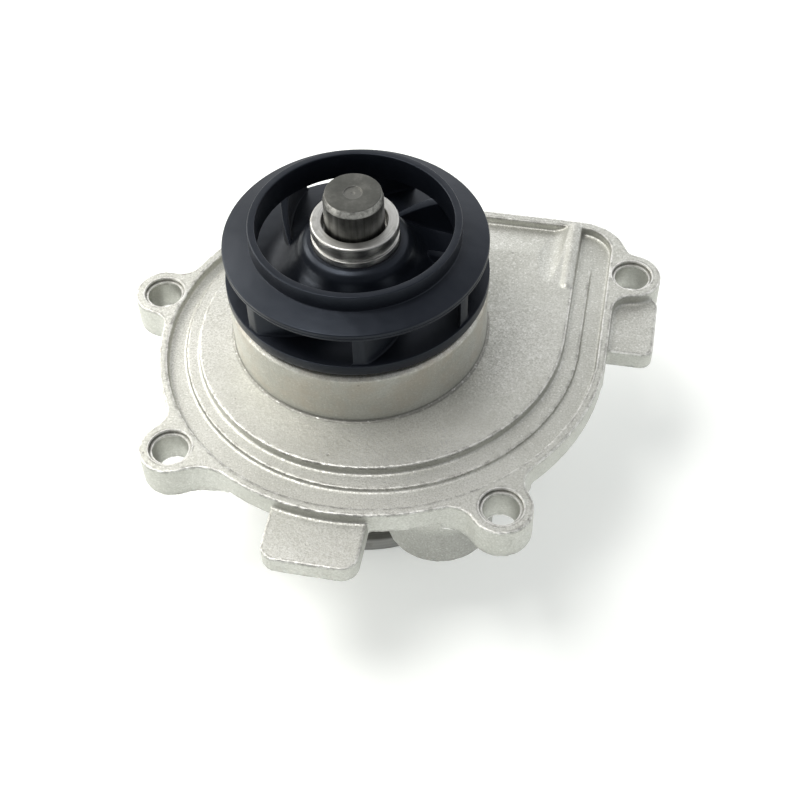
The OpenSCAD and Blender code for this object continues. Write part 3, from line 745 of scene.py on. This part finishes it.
def spring_mesh():
    """A real coil in place of the CAD's four separate turns."""
    low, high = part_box("seal_spring")
    z1, z2 = low.z / MM + 0.5, high.z / MM - 0.5
    bm = bmesh.new()
    rings = []
    turns, steps, coil_r, wire = 4, 40, 12.4, 0.42
    for k in range(turns * steps + 1):
        f = k / (turns * steps)
        t = 2 * math.pi * k / steps
        centre = Vector((coil_r * math.cos(t), coil_r * math.sin(t), z1 + (z2 - z1) * f))
        out = Vector((math.cos(t), math.sin(t), 0))
        around = [out * wire * math.cos(a) + Vector((0, 0, wire * math.sin(a)))
                  for a in (2 * math.pi * i / 10 for i in range(10))]
        rings.append([bm.verts.new((centre + offset) * MM) for offset in around])
    skin(bm, rings)
    return finish_mesh(bm, "seal_coil", 50)


coil = new_piece("seal_coil", spring_mesh(), "housing_body", "stainless_sheet", "seal_spring")


def cover_mesh():
    """The dished steel cap pressed into the leak chamber."""
    low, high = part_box("leak_chamber_cover")
    r = (high.x - low.x) / 2 / MM
    z1, z2 = low.z / MM, high.z / MM
    mesh = lathe("drain_cap", rounded([
        (0, z2), (r, z2, 0.9), (r, z1, 0.3), (r - 1, z1, 0.3), (r - 1, z2 - 1, 0.6),
        (4.2, z2 - 1, 0.4), (3.6, z2 - 1.5, 0.4), (0, z2 - 1.5)]), 96)
    mesh.transform(Matrix.Translation(((low.x + high.x) / 2, (low.y + high.y) / 2, 0)))
    return mesh


cap = new_piece("drain_cap", cover_mesh(), "housing_body", "stainless_sheet", "leak_chamber_cover")


# ---------------------------------------------------------------- finishes for everything

for part in frame["record"]["subparts"]:
    node = nodes[part["node"]]
    if node.hide_render:
        continue
    node.data.materials.clear()
    node.data.materials.append(FINISH[part["material_slot"]])
    edge = node.modifiers.new("edge", "BEVEL")
    edge.width = 0.12 * MM
    edge.segments = 2
    edge.limit_method = "ANGLE"
    edge.angle_limit = math.radians(50)
for piece in (body_casting, disc, vanes, shroud, ring, shaft, hub, coil, cap):
    piece.data.materials.clear()
    piece.data.materials.append(FINISH[piece["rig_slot"]])


# ---------------------------------------------------------------- floor, light and camera

bpy.ops.mesh.primitive_plane_add(size=40, location=(0, 0, 0))
floor = bpy.context.object
floor.name = "floor"
paper, paper_tree, paper_bsdf = material("paper", Roughness=0.9, Emission_Strength=0.31,
                                         Emission_Color=(0.978, 1.0, 0.982, 1),
                                         Specular_IOR_Level=0.1)
paper_tone = mix(paper_tree, noise_at(paper_tree, place(paper_tree), 40),
                 (0.824, 0.844, 0.828), (0.844, 0.864, 0.848))
paper_tree.links.new(paper_tone, paper_bsdf.inputs["Base Color"])
floor.data.materials.append(paper)


def lamp(name, at, target, width, height, power, colour):
    """A rectangular area lamp at one point, facing another."""
    light = bpy.data.lights.new(name, "AREA")
    light.shape = "RECTANGLE"
    light.size, light.size_y = width, height
    light.energy = power
    light.color = colour
    piece = bpy.data.objects.new(name, light)
    scene.collection.objects.link(piece)
    piece.location = at
    piece.rotation_euler = (Vector(target) - Vector(at)).to_track_quat("-Z", "Y").to_euler()


lamp("key", (-0.188, -0.072, 0.655), (0, 0, 0.04), 0.26, 0.26, 2.3, (1.0, 0.985, 0.955))
lamp("near_left", (-0.21, 0.08, 0.20), (-0.04, 0, 0.042), 0.12, 0.12, 0.31, (1.0, 0.97, 0.90))
lamp("low_left", (-0.20, -0.09, 0.075), (0, -0.02, 0.048), 0.10, 0.05, 0.11, (1.0, 0.97, 0.91))
lamp("back", (0.06, 0.27, 0.19), (0.02, 0, 0.04), 0.40, 0.22, 0.2, (1.0, 1.0, 0.98))

# A sky that is bright to the left and right, dim ahead, and brightest low down at the back
world = bpy.data.worlds.new("studio")
scene.world = world
world.use_nodes = True
sky_tree = world.node_tree
sky = sky_tree.nodes["Background"]
direction = put(sky_tree, "SeparateXYZ", {0: put(sky_tree, "TexCoord").outputs["Generated"]})
glow = put(sky_tree, "ValToRGB", {"Fac": span(sky_tree, direction.outputs["X"], -1, 1)})
ramp = glow.color_ramp
ramp.interpolation = "EASE"
ramp.elements[0].color = (1.70, 1.68, 1.63, 1)
ramp.elements[1].color = (1.22, 1.23, 1.25, 1)
middle = ramp.elements.new(0.52)
middle.color = (0.38, 0.38, 0.39, 1)
fall = calc(sky_tree, "ADD", span(sky_tree, direction.outputs["Y"], -1, 1, 0.45, 1.25),
            span(sky_tree, direction.outputs["Y"], 0.72, 0.97, 0.0, 1.8))
sky_tree.links.new(put(sky_tree, "VectorMath", {0: glow.outputs["Color"], "Scale": fall},
                       operation="SCALE").outputs[0], sky.inputs["Color"])
sky.inputs["Strength"].default_value = 0.72

camera = bpy.data.cameras.new("camera")
camera.sensor_width = 36
camera.lens = 63
eye = bpy.data.objects.new("camera", camera)
scene.collection.objects.link(eye)
# The photograph's own viewpoint, recovered from the circles about the shaft
STAND = Vector((50.6, -197.2, 262.2)) * MM
AIM = Vector((12.05, -18.75, 42)) * MM
ROLL = math.radians(-1.84)
look = (AIM - STAND).to_track_quat("-Z", "Y").to_matrix().to_4x4()
eye.matrix_world = Matrix.Translation(STAND) @ look @ Matrix.Rotation(ROLL, 4, "Z")
scene.camera = eye
scene.view_settings.view_transform = "Standard"
